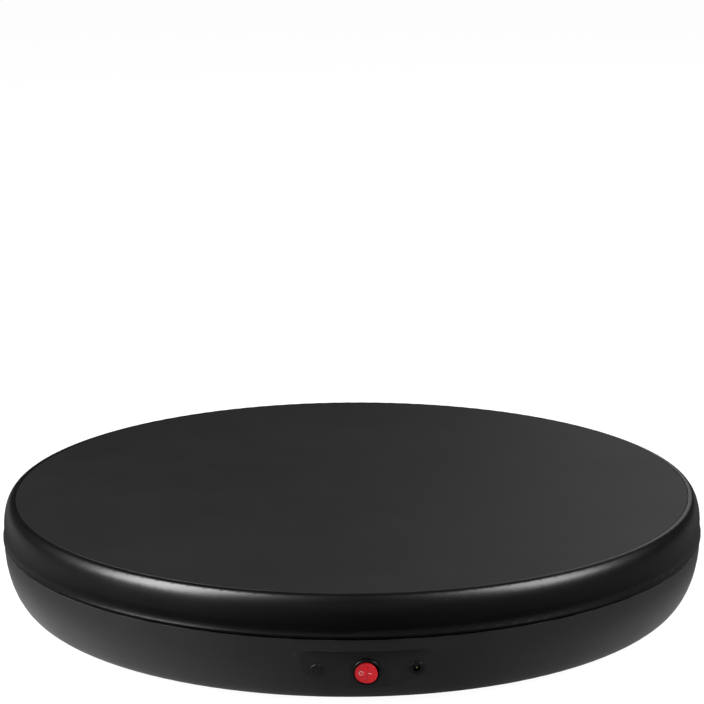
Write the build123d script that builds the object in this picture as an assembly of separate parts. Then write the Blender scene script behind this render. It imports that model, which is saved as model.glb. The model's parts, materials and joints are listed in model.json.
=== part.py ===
from build123d import *
import os
from math import acos, cos, pi, radians, sin, sqrt, tan

# A motor-driven round display stand: a bowl-shaped base carries a platter on a ball bearing.
# Millimetres, +Z up, origin on the floor below the spin axis, control panel facing -Y.

# ---- overall sizes ----
body_radius = 300.0           # platter lip, the widest part
overall_height = 92.0         # floor to the display surface
foot_standoff = 3.0           # the feet hold the bowl this far off the floor
platter_height = 32.5         # lip to display surface
seam_gap = 1.5                # turning gap between the bowl and the platter
running_gap = 0.3             # between pieces that pass or rest near each other
bore_clearance = 0.05         # radial, on every running or screwed fit

# ---- bowl (base shell) ----
bowl_wall = 3.0
bowl_rim_inset = 0.8          # bowl rim radius is this much less than the lip's
bowl_curve_run = 27.0         # how far the side curves in towards the bottom
rim_band_height = 5.0         # thickened band under the rim
upstand_height = 5.0          # dust rib that stands inside the platter's skirt
upstand_wall = 2.3
upstand_gap = 1.2

# ---- platter ----
lip_height = 1.5
lip_step = 1.0                # the lip stands out this far beyond the side
lip_blend = 4.5
nose_run = 8.5                # bullnose, from the side in to the flat top
nose_rise = 22.0
platter_wall = 3.5
mat_thickness = 1.5
mat_margin = 1.6              # flat ring left round the mat
mat_gap = 0.4
rib_count = 12
rib_thickness = 2.5
rib_depth = 11.0
shallow_rib_depth = 3.0       # over the gears

# ---- control panel ----
panel_tilt = 9.65             # degrees, it faces slightly down
panel_depth = 4.0             # at the ledge, below the bowl's surface
ledge_drop = 9.0              # bowl rim down to the ledge above the panel
panel_wall = 3.0
pad_half_width = 56.0
switch_drop = 19.5            # ledge down to the switch
socket_drop = 16.5            # ledge down to the jack and the window
socket_offset = 38.5          # sideways from the switch

switch_hole_radius = 10.0
switch_bezel_radius = 11.5
switch_bezel_height = 2.0
switch_well_radius = 9.8       # in the bezel, round the rocker's cap
switch_bore_radius = 9.4       # in the barrel behind it
switch_step_height = 0.1
switch_body_depth = 14.0
switch_back_wall = 2.5
rocker_radius = 8.9
rocker_edge = 1.2             # thickness of the cap's edge
rocker_middle = 2.4
rocker_tilt = 8.0             # degrees, either side of level
rocker_pivot_depth = 1.5
rocker_pin_radius = 1.0
rocker_drum_radius = 4.0
rocker_drum_width = 11.0
terminal_size = (4.8, 0.8, 8.0)
terminal_offset = 4.5

jack_hole_radius = 4.0
jack_flange_radius = 5.6
jack_flange_height = 1.2
jack_body_depth = 12.0
jack_bore_radius = 2.8
jack_bore_depth = 9.5
jack_pin_radius = 1.05
jack_nut_radius = 5.8
jack_nut_height = 2.2

window_radius = 4.75
window_hole_radius = 4.0
window_dome = 1.0
window_barrel_depth = 4.5
receiver_size = (6.0, 7.0, 4.5)

# ---- bearing and its tower ----
ball_radius = 3.0
ball_circle_radius = 56.0
ball_count = 24
groove_clearance = 0.2
bearing_inner_radius = 44.0
bearing_outer_radius = 68.0
bearing_ring_height = 5.5
bearing_gap = 3.0             # between the two rings
lower_screw_circle = 48.5
upper_screw_circle = 63.5
cage_height = 1.6
cage_width = 8.4
hub_drop = 11.0               # deck underside to the upper ring
tower_foot_radius = 76.0
tower_foot_height = 4.0
tower_tube_radius = 57.0
tower_tube_wall = 4.0
tower_head_height = 4.0
tower_pad_height = 3.0        # raised ring on the bowl's floor
tower_screw_circle = 68.0

# ---- gears and motor ----
gear_backlash = 0.25
addendum_factor = 0.8
dedendum_factor = 1.25
pressure_angle = 20.0
ring_module = 1.5
ring_teeth = 120
ring_gear_height = 8.0
ring_gear_inner_radius = 74.0
ring_gear_top_drop = 9.0      # deck underside to the gear
ring_boss_outer_radius = 86.0
ring_screw_circle = 80.0
idler_pinion_teeth = 16
drive_module = 1.0
idler_wheel_teeth = 42
motor_pinion_teeth = 14
idler_wheel_height = 6.0
idler_pinion_overlap = 2.0    # past the ring gear, above and below
idler_axle_radius = 2.5
idler_shoulder_radius = 4.5
idler_hub_radius = 9.0
clip_radius = 4.5
clip_thickness = 0.8
motor_pinion_height = 8.0
bracket_plate = 2.0
bracket_half_width = 31.0
bracket_margin = 18.0
bracket_post_radius = 5.0
bracket_post_offset = 25.0
bracket_post_clear = 28.0     # from the motor's axis to the rear posts
bracket_front_clear = 12.0    # from the idler's axis to the front posts
gear_lift = 4.0               # plate to the gears above it
motor_width = 42.3
motor_flange_height = 8.0
motor_can_height = 26.0
motor_pilot_radius = 11.0
motor_shaft_radius = 2.5
motor_bolt_offset = 15.5
rotor_radius = 12.0
rotor_cavity_radius = 13.0
rotor_height = 18.0
rotor_floor = 4.0

# ---- support rollers ----
roller_count = 6
track_inset = 20.2            # edge of the bowl's flat floor in to the middle of the track
roller_radius = 12.0
roller_width = 10.0
tyre_thickness = 2.5
roller_hub_overhang = 1.7     # hub ends stand out past the tyre
roller_axle_radius = 2.0
track_width = 24.0
track_thickness = 2.0
track_drop = 15.0             # deck underside down to the track
track_rib_width = 8.0
track_screw_offset = 8.5
cheek_thickness = 2.0
cheek_half_width = 8.0
bracket_base_thickness = 2.0
bracket_base_half_length = 17.0
roller_screw_offset = 11.0
roller_boss_radius = 5.0
roller_boss_gap = 13.7        # bracket base to the underside of the roller

# ---- feet and screws ----
foot_count = 6
foot_inset = 32.2             # edge of the bowl's flat floor in to the middle of a foot
foot_radius = 10.0
foot_pocket = 1.0
screw_head_radius = 2.75
screw_head_height = 1.9
screw_radius = 1.5
screw_length = 8.0
screw_recess = 0.9

# ---- control board ----
board_inset = 57.2            # edge of the bowl's flat floor in to the middle of the board
board_size = (90.0, 50.0, 1.6)
board_standoff_height = 8.0
board_standoff_radius = 3.5
board_hole_inset = 4.0
connector_size = (10.0, 6.0, 8.0)
lead_radius = 0.9
cable_radius = 2.2

# ---- levels and radii that follow ----
base_top = overall_height - platter_height - seam_gap
bowl_rise = base_top - foot_standoff
bowl_rim_radius = body_radius - bowl_rim_inset
bowl_floor_radius = bowl_rim_radius - bowl_curve_run
track_radius = bowl_floor_radius - track_inset
foot_circle = bowl_floor_radius - foot_inset
board_centre_y = -(bowl_floor_radius - board_inset)
floor_top = foot_standoff + bowl_wall
lip_bottom = base_top + seam_gap
platter_side_radius = body_radius - lip_step
flat_radius = platter_side_radius - nose_run
nose_bottom = overall_height - nose_rise
deck_top = overall_height - mat_thickness
deck_bottom = deck_top - platter_wall
skirt_inner_radius = platter_side_radius - platter_wall
mat_radius = flat_radius - mat_margin - mat_gap
ledge_z = base_top - ledge_drop

upper_ring_top = deck_bottom - hub_drop
upper_ring_bottom = upper_ring_top - bearing_ring_height
lower_ring_top = upper_ring_bottom - bearing_gap
lower_ring_bottom = lower_ring_top - bearing_ring_height
ball_level = (upper_ring_bottom + lower_ring_top) / 2
tower_bottom = floor_top + tower_pad_height

ring_gear_top = deck_bottom - ring_gear_top_drop
ring_gear_bottom = ring_gear_top - ring_gear_height
idler_y = ring_module * (ring_teeth + idler_pinion_teeth) / 2
motor_y = idler_y + drive_module * (idler_wheel_teeth + motor_pinion_teeth) / 2
pinion_top = ring_gear_top + idler_pinion_overlap
pinion_bottom = ring_gear_bottom - idler_pinion_overlap
idler_wheel_top = pinion_bottom - 6.0
idler_wheel_bottom = idler_wheel_top - idler_wheel_height
plate_top = idler_wheel_bottom - gear_lift
plate_bottom = plate_top - bracket_plate
motor_bottom = plate_bottom - motor_flange_height - motor_can_height

track_bottom = deck_bottom - track_drop - track_thickness
roller_level = track_bottom - running_gap - roller_radius
roller_bracket_bottom = roller_level - roller_radius - roller_boss_gap - bracket_base_thickness
board_bottom = floor_top + board_standoff_height
board_top = board_bottom + board_size[2]
connector_y = board_centre_y - board_size[1] / 2 + connector_size[1] / 2 + 1.0

panel_y = -(bowl_floor_radius + bowl_curve_run * sqrt(1 - (ledge_drop / bowl_rise) ** 2)) + panel_depth


def panel_place(x, drop):
    """Frame on the panel, x sideways and drop below the ledge; its Z points out of the panel."""
    tilt = radians(panel_tilt)
    origin = (x, panel_y + drop * tan(tilt), ledge_z - drop)
    return Plane(origin=origin, x_dir=(1, 0, 0), z_dir=(0, -cos(tilt), -sin(tilt)))


switch_frame = panel_place(0, switch_drop)
window_frame = panel_place(-socket_offset, socket_drop)
jack_frame = panel_place(socket_offset, socket_drop)

BOTTOM = (Align.CENTER, Align.CENTER, Align.MIN)


# ---- shape helpers ----
def post(radius, z_low, z_high, x=0.0, y=0.0):
    """Upright cylinder between two levels."""
    return Pos(x, y, z_low) * Cylinder(radius, z_high - z_low, align=BOTTOM)


def ring(inner_radius, outer_radius, z_low, z_high):
    """Flat ring about the spin axis."""
    return post(outer_radius, z_low, z_high) - post(inner_radius, z_low - 1, z_high + 1)


def block(x_low, x_high, y_low, y_high, z_low, z_high):
    """Box between its six faces."""
    centre = Pos((x_low + x_high) / 2, (y_low + y_high) / 2, (z_low + z_high) / 2)
    return centre * Box(x_high - x_low, y_high - y_low, z_high - z_low)


def spun(profile_lines):
    """Solid of revolution of a closed outline drawn as (radius, height)."""
    return revolve(Plane.XZ * make_face(profile_lines), Axis.Z)


def around(count, radius, first_angle=0.0):
    """Places at even angles round the spin axis."""
    return [Rot(0, 0, first_angle + 360.0 * i / count) * Pos(radius, 0, 0) for i in range(count)]


def screw(length=screw_length, scale=1.0):
    """Pan-head screw pointing down, the underside of its head at zero."""
    head_height = screw_head_height * scale
    head = post(screw_head_radius * scale, 0, head_height)
    head = fillet(head.edges().group_by(Axis.Z)[-1], head_height * 0.45)
    shank = post(screw_radius * scale, -length, 0)
    slot_width = 0.7 * scale
    slot_length = 3.0 * scale
    recess_level = head_height - screw_recess * scale
    cross = Pos(0, 0, recess_level) * Box(slot_length, slot_width, 2, align=BOTTOM)
    cross += Pos(0, 0, recess_level) * Box(slot_width, slot_length, 2, align=BOTTOM)
    return head + shank - cross


def screw_hole(length=screw_length, scale=1.0):
    """Hole that such a screw turns into."""
    return post(screw_radius * scale + bore_clearance, -length - 0.5, 1.0)


def group(shapes):
    """Separate solids that share one node."""
    return Compound(children=[solid for shape in shapes for solid in shape.solids()])


def gear_outline(teeth, module, tooth_angle, flank_steps=2):
    """Outline of a spur gear; one tooth is centred on tooth_angle in degrees."""
    pitch = module * teeth / 2
    base = pitch * cos(radians(pressure_angle))
    tip = pitch + addendum_factor * module
    root = pitch - dedendum_factor * module
    pitch_involute = tan(radians(pressure_angle)) - radians(pressure_angle)
    half_at_pitch = (pi * module / 2 - gear_backlash) / (2 * pitch)
    start = max(base, root)
    flank = [start + (tip - start) * step / flank_steps for step in range(flank_steps + 1)]
    if root < base:
        flank.insert(0, root)
    points = []
    for tooth in range(teeth):
        middle = radians(tooth_angle) + 2 * pi * tooth / teeth
        rising = []
        for radius in flank:
            roll = acos(min(1.0, base / radius))
            half = half_at_pitch + pitch_involute - (tan(roll) - roll)
            rising.append((radius, half))
        for radius, half in rising:
            points.append((radius * cos(middle - half), radius * sin(middle - half)))
        for radius, half in reversed(rising):
            points.append((radius * cos(middle + half), radius * sin(middle + half)))
    return make_face(Polyline(*points, close=True))


def gear(teeth, module, z_low, z_high, tooth_angle, flank_steps=2):
    """Spur gear blank with planar flanks."""
    outline = gear_outline(teeth, module, tooth_angle, flank_steps)
    return extrude(Pos(0, 0, z_low) * outline, z_high - z_low)


def bend_radii(points):
    """Largest arc at each corner of a lead that its two runs leave room for."""
    radii = []
    for before, corner, after in zip(points, points[1:], points[2:]):
        first = Vector(*corner) - Vector(*before)
        second = Vector(*after) - Vector(*corner)
        turn = radians(first.get_angle(second))
        radii.append(0.45 * min(first.length, second.length) / tan(turn / 2))
    return radii


def lead(points, radius):
    """Round insulated lead along straight runs joined by arcs."""
    path = FilletPolyline(*points, radius=bend_radii(points))
    section = Plane(origin=path @ 0, z_dir=path % 0) * Circle(radius)
    return sweep(section, path)


# ---- bowl and feet ----
def bowl_solid(inset):
    """The bowl's filled form, drawn in by inset from its outer surface."""
    curve_run = bowl_curve_run - inset
    rise = bowl_rise - inset
    low = base_top - rise
    curve = EllipticalCenterArc((bowl_floor_radius, base_top), curve_run, rise, 270, arc_size=90)
    outline = [
        Line((0, low), (bowl_floor_radius, low)),
        curve,
        Line((bowl_floor_radius + curve_run, base_top), (0, base_top)),
        Line((0, base_top), (0, low)),
    ]
    return spun(outline)


def panel_outside():
    """Everything in front of the panel and below its ledge."""
    front = switch_frame * Pos(0, 0, 10) * Box(2 * body_radius, 2 * overall_height, 20)
    below = block(-body_radius, body_radius, -body_radius - 20, 0, -overall_height, ledge_z)
    return front & below


def panel_wall_solid():
    """Flat wall behind the panel, with the shelf that closes its ledge."""
    slab = switch_frame * Pos(0, 0, -panel_wall / 2) * Box(2 * pad_half_width, 2 * overall_height, panel_wall)
    slab = slab & block(-body_radius, body_radius, -body_radius, 0, foot_standoff, ledge_z + bowl_wall)
    shelf = block(-pad_half_width, pad_half_width, -body_radius, panel_y + panel_wall,
                  ledge_z, ledge_z + bowl_wall)
    return (slab + shelf) & bowl_solid(0)


def roller_places():
    """Frame at each roller: X outward along the radius, Z up, at floor level."""
    return around(roller_count, track_radius)


def board_corners():
    """Middle of each screw of the control board."""
    half_x = board_size[0] / 2 - board_hole_inset
    half_y = board_size[1] / 2 - board_hole_inset
    return [(x, board_centre_y + y) for x in (-half_x, half_x) for y in (-half_y, half_y)]


def bracket_posts():
    """Middle of each post under the motor bracket."""
    rows = (idler_y - bracket_front_clear, motor_y + bracket_post_clear)
    return [(x, y) for x in (-bracket_post_offset, bracket_post_offset) for y in rows]


def base_shell():
    shell = bowl_solid(0) - bowl_solid(bowl_wall)
    upstand_radius = skirt_inner_radius - upstand_gap
    band_inner = upstand_radius - upstand_wall
    shell += ring(band_inner, bowl_rim_radius - bowl_wall / 2, base_top - rim_band_height, base_top)
    shell += ring(band_inner, upstand_radius, base_top - 1, base_top + upstand_height)
    shell += panel_wall_solid()
    shell -= panel_outside()
    shell += ring(tower_tube_radius - 2 * tower_tube_wall, tower_foot_radius, floor_top - 1, tower_bottom)
    for x, y in bracket_posts():
        shell += post(bracket_post_radius, floor_top - 1, plate_bottom, x, y)
    for x, y in board_corners():
        shell += post(board_standoff_radius, floor_top - 1, board_bottom, x, y)
    for place in roller_places():
        for side in (-roller_screw_offset, roller_screw_offset):
            shell += place * post(roller_boss_radius, floor_top - 1, roller_bracket_bottom, 0, side)
            shell -= place * Pos(0, side, roller_bracket_bottom) * screw_hole(screw_length + 1)
    for x, y in bracket_posts():
        shell -= Pos(x, y, plate_bottom) * screw_hole(screw_length + 1)
    for x, y in board_corners():
        shell -= Pos(x, y, board_bottom) * screw_hole(6.5)
    for place in around(foot_count, foot_circle, 180.0 / foot_count):
        shell -= place * post(foot_radius + bore_clearance, 0, foot_standoff + foot_pocket)
    for place in around(6, tower_screw_circle, 30):
        shell -= place * post(screw_head_radius + running_gap, 0, foot_standoff + bowl_wall)
        shell -= place * post(screw_radius + running_gap, 0, tower_bottom + 1)
    shell -= switch_frame * post(switch_hole_radius, -20, 1)
    shell -= window_frame * post(window_hole_radius, -20, 1)
    shell -= jack_frame * post(jack_hole_radius, -20, 1)
    return shell


def rubber_feet():
    foot = post(foot_radius, 0, foot_standoff + foot_pocket)
    foot = fillet(foot.edges().group_by(Axis.Z)[0], 1.0)
    return group(place * foot for place in around(foot_count, foot_circle, 180.0 / foot_count))


# ---- bearing ----
def bearing_tower():
    inner = tower_tube_radius - tower_tube_wall
    tower = ring(inner, tower_foot_radius, tower_bottom, tower_bottom + tower_foot_height)
    tower += ring(inner, tower_tube_radius, tower_bottom, lower_ring_bottom)
    head_bottom = lower_ring_bottom - tower_head_height
    tower += ring(bearing_inner_radius, bearing_outer_radius, head_bottom, lower_ring_bottom)
    gusset_outline = Polyline(
        (inner + 1, 0, tower_bottom + 1),
        (tower_foot_radius - 2, 0, tower_bottom + tower_foot_height),
        (tower_tube_radius + 3, 0, head_bottom - 8),
        (bearing_outer_radius - 2, 0, head_bottom + 1),
        (inner + 1, 0, head_bottom + 1),
        close=True,
    )
    gusset = extrude(make_face(gusset_outline), rib_thickness / 2, both=True)
    for i in range(6):
        tower += Rot(0, 0, 60 * i) * gusset
    for place in around(6, tower_screw_circle, 30):
        tower -= place * post(screw_radius + bore_clearance, tower_bottom - 1, tower_bottom + 30)
    for place in around(6, lower_screw_circle):
        tower -= place * Pos(0, 0, lower_ring_bottom) * screw_hole()
    return tower


def tower_screws():
    """They rise through the bowl's floor into the tower's foot."""
    head_level = foot_standoff + bowl_wall
    turned = Pos(0, 0, head_level) * Rot(180, 0, 0) * screw(tower_pad_height + tower_foot_height + 1)
    return group(place * turned for place in around(6, tower_screw_circle, 30))


def bearing_groove():
    """Round groove that the balls run in, on both rings."""
    return Pos(0, 0, ball_level) * Torus(ball_circle_radius, ball_radius + groove_clearance)


def bearing_lower_ring():
    race = ring(bearing_inner_radius, bearing_outer_radius, lower_ring_bottom, lower_ring_top)
    race -= bearing_groove()
    for place in around(6, lower_screw_circle):
        race -= place * post(screw_head_radius + running_gap, lower_ring_top - 2.5, lower_ring_top + 1)
        race -= place * post(screw_radius + bore_clearance, lower_ring_bottom - 1, lower_ring_top)
    return race


def bearing_lower_screws():
    seat = lower_ring_top - 2.5
    one = Pos(0, 0, seat) * screw(seat - lower_ring_bottom + tower_head_height - 0.5)
    return group(place * one for place in around(6, lower_screw_circle))


def bearing_upper_ring():
    race = ring(bearing_inner_radius, bearing_outer_radius, upper_ring_bottom, upper_ring_top)
    race -= bearing_groove()
    for place in around(6, upper_screw_circle, 30):
        race -= place * post(screw_head_radius + running_gap, upper_ring_bottom - 1, upper_ring_bottom + 2.5)
        race -= place * post(screw_radius + bore_clearance, upper_ring_bottom, upper_ring_top + 1)
    return race


def bearing_upper_screws():
    seat = upper_ring_bottom + 2.5
    one = Pos(0, 0, seat) * Rot(180, 0, 0) * screw(upper_ring_top - seat + screw_length - 2)
    return group(place * one for place in around(6, upper_screw_circle, 30))


def ball_places():
    return around(ball_count, ball_circle_radius)


def ball_cage():
    half = cage_width / 2
    cage = ring(ball_circle_radius - half, ball_circle_radius + half,
                ball_level - cage_height / 2, ball_level + cage_height / 2)
    for place in ball_places():
        cage -= place * post(ball_radius + groove_clearance, ball_level - 4, ball_level + 4)
    return cage


def bearing_balls():
    return group(place * Pos(0, 0, ball_level) * Sphere(ball_radius) for place in ball_places())


# ---- platter ----
def platter_outline(inset):
    """Section of the platter's filled form, drawn in by inset, down to the lip."""
    side = platter_side_radius - inset
    top = deck_bottom if inset else overall_height
    rise = top - nose_bottom
    run = nose_run - inset
    nose = EllipticalCenterArc((flat_radius, nose_bottom), run, rise, 0, arc_size=90)
    lines = [nose, Line((flat_radius, top), (0, top)), Line((0, top), (0, lip_bottom))]
    if inset:
        lines.append(Line((0, lip_bottom), (side, lip_bottom)))
        lines.append(Line((side, lip_bottom), (side, nose_bottom)))
        return lines
    lip_top = lip_bottom + lip_height
    lines.append(Line((0, lip_bottom), (body_radius, lip_bottom)))
    lines.append(Line((body_radius, lip_bottom), (body_radius, lip_top)))
    blend = ThreePointArc(
        (body_radius, lip_top),
        (side + 0.3 * lip_step, lip_top + 0.4 * lip_blend),
        (side, lip_top + lip_blend),
    )
    lines.append(blend)
    lines.append(Line((side, lip_top + lip_blend), (side, nose_bottom)))
    return lines


def platter_rib():
    """One radial rib, shallow over the gears and deep further out."""
    inner = bearing_outer_radius - 4
    step = motor_y + 12
    outer = track_radius - track_rib_width / 2 + 1
    top = deck_bottom + 1
    shallow = deck_bottom - shallow_rib_depth
    deep = deck_bottom - rib_depth
    outline = Polyline(
        (inner, 0, top), (inner, 0, shallow), (step, 0, shallow), (step + 14, 0, deep),
        (outer, 0, deep), (outer, 0, top), close=True,
    )
    return extrude(make_face(outline), rib_thickness / 2, both=True)


def platter_shell():
    shell = spun(platter_outline(0)) - spun(platter_outline(platter_wall))
    shell -= post(mat_radius + mat_gap, deck_top, overall_height + 1)
    shell += ring(bearing_inner_radius, bearing_outer_radius, upper_ring_top, deck_bottom + 1)
    shell += ring(ring_gear_inner_radius, ring_boss_outer_radius, ring_gear_top, deck_bottom + 1)
    half = track_rib_width / 2
    track_top = track_bottom + track_thickness
    shell += ring(track_radius - half, track_radius + half, track_top, deck_bottom + 1)
    boss_radius = track_radius + track_screw_offset
    for place in around(rib_count, boss_radius, 15):
        shell += place * post(4, track_top, deck_bottom + 1)
        shell += place * block(-track_screw_offset, 0, -1.5, 1.5, track_top, deck_bottom + 1)
    for i in range(rib_count):
        shell += Rot(0, 0, 360 * i / rib_count) * platter_rib()
    for place in around(rib_count, boss_radius, 15):
        shell -= place * Pos(0, 0, track_top) * Rot(180, 0, 0) * screw_hole()
    for place in around(6, ring_screw_circle, 15):
        shell -= place * Pos(0, 0, ring_gear_top) * Rot(180, 0, 0) * screw_hole()
    for place in around(6, upper_screw_circle, 30):
        shell -= place * Pos(0, 0, upper_ring_top) * Rot(180, 0, 0) * screw_hole()
    return shell


def platter_mat():
    mat = post(mat_radius, deck_top, overall_height)
    return fillet(mat.edges().group_by(Axis.Z)[-1], 0.3)


def roller_track():
    half = track_width / 2
    track_top = track_bottom + track_thickness
    track = ring(track_radius - half, track_radius + half, track_bottom, track_top)
    for place in around(rib_count, track_radius + track_screw_offset, 15):
        track -= place * post(screw_radius + bore_clearance, track_bottom - 1, track_top + 1)
    return track


def track_screws():
    turned = Pos(0, 0, track_bottom) * Rot(180, 0, 0) * screw()
    return group(place * turned for place in around(rib_count, track_radius + track_screw_offset, 15))


def ring_gear():
    toothed = gear(ring_teeth, ring_module, ring_gear_bottom, ring_gear_top, 90, 1)
    toothed -= post(ring_gear_inner_radius, ring_gear_bottom - 1, ring_gear_top + 1)
    for place in around(6, ring_screw_circle, 15):
        toothed -= place * post(screw_radius + bore_clearance, ring_gear_bottom - 1, ring_gear_top + 1)
    return toothed


def ring_gear_screws():
    turned = Pos(0, 0, ring_gear_bottom) * Rot(180, 0, 0) * screw(ring_gear_height + screw_length - 1)
    return group(place * turned for place in around(6, ring_screw_circle, 15))


# ---- gear train and motor ----
def idler_gear():
    """Wheel and pinion in one moulding, on the idler axle."""
    pinion_gap = 90 + 180.0 / idler_pinion_teeth
    wheel_gap = 90 + 180.0 / idler_wheel_teeth
    body = gear(idler_pinion_teeth, ring_module, pinion_bottom, pinion_top, pinion_gap)
    body += gear(idler_wheel_teeth, drive_module, idler_wheel_bottom, idler_wheel_top, wheel_gap)
    body += post(idler_hub_radius, idler_wheel_top, pinion_bottom)
    bore = post(idler_axle_radius + bore_clearance, idler_wheel_bottom - 1, pinion_top + 1)
    return Pos(0, idler_y, 0) * (body - bore)


def idler_axle():
    shoulder_top = idler_wheel_bottom - running_gap
    groove_low = pinion_top + running_gap
    groove_high = groove_low + clip_thickness
    axle = post(idler_axle_radius, plate_bottom, groove_high + 1.0)
    axle += post(idler_shoulder_radius, plate_top, shoulder_top)
    axle -= ring(idler_axle_radius - 0.6, idler_axle_radius + 1, groove_low, groove_high)
    return Pos(0, idler_y, 0) * axle


def idler_clip():
    groove_low = pinion_top + running_gap
    clip = ring(idler_axle_radius - 0.5, clip_radius, groove_low + 0.05, groove_low + clip_thickness - 0.05)
    clip -= block(-1.6, 1.6, 0, clip_radius + 1, groove_low - 1, groove_low + 2)
    return Pos(0, idler_y, 0) * clip


def motor_pinion():
    low = idler_wheel_bottom - 1.0
    body = gear(motor_pinion_teeth, drive_module, low, low + motor_pinion_height, -90)
    body -= post(motor_shaft_radius, low - 1, low + motor_pinion_height + 1)
    return Pos(0, motor_y, 0) * body


def motor_bracket():
    front = idler_y - bracket_margin
    rear = motor_y + bracket_post_clear + 8
    plate = block(-bracket_half_width, bracket_half_width, front, rear, plate_bottom, plate_top)
    plate = fillet(plate.edges().filter_by(Axis.Z), 6)
    plate -= post(idler_axle_radius, plate_bottom - 1, plate_top + 1, 0, idler_y)
    plate -= post(motor_pilot_radius + bore_clearance, plate_bottom - 1, plate_top + 1, 0, motor_y)
    for x, y in bracket_posts() + motor_bolts():
        plate -= post(screw_radius + bore_clearance, plate_bottom - 1, plate_top + 1, x, y)
    return plate


def motor_bolts():
    """Middle of each screw that holds the motor."""
    offsets = (-motor_bolt_offset, motor_bolt_offset)
    return [(x, motor_y + y) for x in offsets for y in offsets]


def motor_bracket_screws():
    return group(Pos(x, y, plate_top) * screw(bracket_plate + screw_length) for x, y in bracket_posts())


def motor_mount_screws():
    return group(Pos(x, y, plate_top) * screw(bracket_plate + 4.5) for x, y in motor_bolts())


def motor_flange():
    top = plate_bottom
    body = Pos(0, motor_y, top - motor_flange_height) * Box(motor_width, motor_width, motor_flange_height,
                                                            align=BOTTOM)
    body = chamfer(body.edges().filter_by(Axis.Z), 4)
    body += post(motor_pilot_radius, top - 1, plate_top, 0, motor_y)
    body -= post(motor_shaft_radius + bore_clearance, 0, plate_top + 1, 0, motor_y)
    for x, y in motor_bolts():
        body -= post(screw_radius + bore_clearance, top - 5.5, top + 1, x, y)
    return body


def motor_can():
    top = plate_bottom - motor_flange_height
    body = Pos(0, motor_y, motor_bottom) * Box(motor_width, motor_width, motor_can_height, align=BOTTOM)
    body = chamfer(body.edges().filter_by(Axis.Z), 4)
    body -= post(rotor_cavity_radius, motor_bottom + rotor_floor, top + 1, 0, motor_y)
    body -= post(motor_shaft_radius + bore_clearance, motor_bottom + 1, top, 0, motor_y)
    return body


def motor_shaft():
    top = idler_wheel_bottom - 1.0 + motor_pinion_height + 1.0
    return post(motor_shaft_radius, motor_bottom + 1.0 + running_gap, top, 0, motor_y)


def rotor_magnet():
    low = motor_bottom + rotor_floor + 2.0
    core = ring(motor_shaft_radius, rotor_radius, low, low + rotor_height)
    return Pos(0, motor_y, 0) * core


# ---- rollers ----
def roller_hub():
    """Hub of a roller lying along X, its middle at the origin."""
    whole_width = roller_width + 2 * roller_hub_overhang
    hub = Cylinder(roller_radius - tyre_thickness, roller_width)
    hub += Cylinder(roller_axle_radius + 2.5, whole_width)
    hub -= Cylinder(roller_axle_radius + bore_clearance, whole_width + 2)
    return Rot(0, 90, 0) * hub


def roller_tyre():
    tyre = Cylinder(roller_radius, roller_width)
    tyre = fillet(tyre.edges(), 0.8)
    tyre -= Cylinder(roller_radius - tyre_thickness, roller_width + 2)
    return Rot(0, 90, 0) * tyre


def cheek_faces():
    """Near face of each bracket cheek, as distances from the roller's middle."""
    near = roller_width / 2 + roller_hub_overhang + running_gap
    return near, near + cheek_thickness


def roller_bracket():
    """Folded steel bracket with two cheeks, in the roller's frame."""
    near, far = cheek_faces()
    low = roller_bracket_bottom
    base_high = low + bracket_base_thickness
    body = block(-far, far, -bracket_base_half_length, bracket_base_half_length, low, base_high)
    cheek_top = roller_level + 4.0
    for side in (-1, 1):
        inner, outer = sorted((side * near, side * far))
        body += block(inner, outer, -cheek_half_width, cheek_half_width, low, cheek_top)
    for side in (-roller_screw_offset, roller_screw_offset):
        body -= post(screw_radius + bore_clearance, low - 1, base_high + 1, 0, side)
    body -= Pos(0, 0, roller_level) * Rot(0, 90, 0) * Cylinder(roller_axle_radius, 4 * far)
    return body


def roller_axle():
    near, far = cheek_faces()
    pin = Cylinder(roller_axle_radius, 2 * far + 2.0)
    head = Pos(0, 0, far + 0.5) * Cylinder(roller_axle_radius + 1.2, 1.0)
    tail = Pos(0, 0, -far - 0.5) * Cylinder(roller_axle_radius + 1.2, 1.0)
    return Pos(0, 0, roller_level) * Rot(0, 90, 0) * (pin + head + tail)


def roller_brackets():
    return group(place * roller_bracket() for place in roller_places())


def roller_axles():
    return group(place * roller_axle() for place in roller_places())


def roller_bracket_screws():
    level = roller_bracket_bottom + bracket_base_thickness
    sides = (-roller_screw_offset, roller_screw_offset)
    length = bracket_base_thickness + screw_length
    return group(place * Pos(0, side, level) * screw(length) for place in roller_places() for side in sides)


# ---- control board ----
def control_board():
    board = Pos(0, board_centre_y, board_bottom) * Box(*board_size, align=BOTTOM)
    board = fillet(board.edges().filter_by(Axis.Z), 2)
    for x, y in board_corners():
        board -= post(screw_radius + bore_clearance, board_bottom - 1, board_top + 1, x, y)
    return board


def board_screws():
    return group(Pos(x, y, board_top) * screw(board_size[2] + 6) for x, y in board_corners())


def board_part(x, y, size_x, size_y, height):
    """One block-shaped part soldered to the board."""
    return Pos(x, board_centre_y + y, board_top) * Box(size_x, size_y, height, align=BOTTOM)


def board_chips():
    """Motor driver with its heat sink, controller and memory."""
    driver = board_part(22, 4, 20, 15, 6)
    for i in range(5):
        driver -= board_part(14 + 4 * i, 4, 1.8, 16, 6) & block(-60, 60, -300, 0, board_top + 1.6, 60)
    parts = [driver, board_part(-16, 4, 10, 10, 1.4), board_part(-32, 8, 5, 4, 1.4)]
    parts += [board_part(-4, -6 + 4 * i, 2.0, 1.2, 0.8) for i in range(4)]
    parts += [board_part(-26 + 4 * i, -8, 1.2, 2.0, 0.8) for i in range(3)]
    return group(parts)


def board_capacitors():
    large = post(5, board_top, board_top + 12, 2, board_centre_y + 12)
    small = post(3.2, board_top, board_top + 8, -12, board_centre_y + 16)
    return group([large, small])


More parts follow.
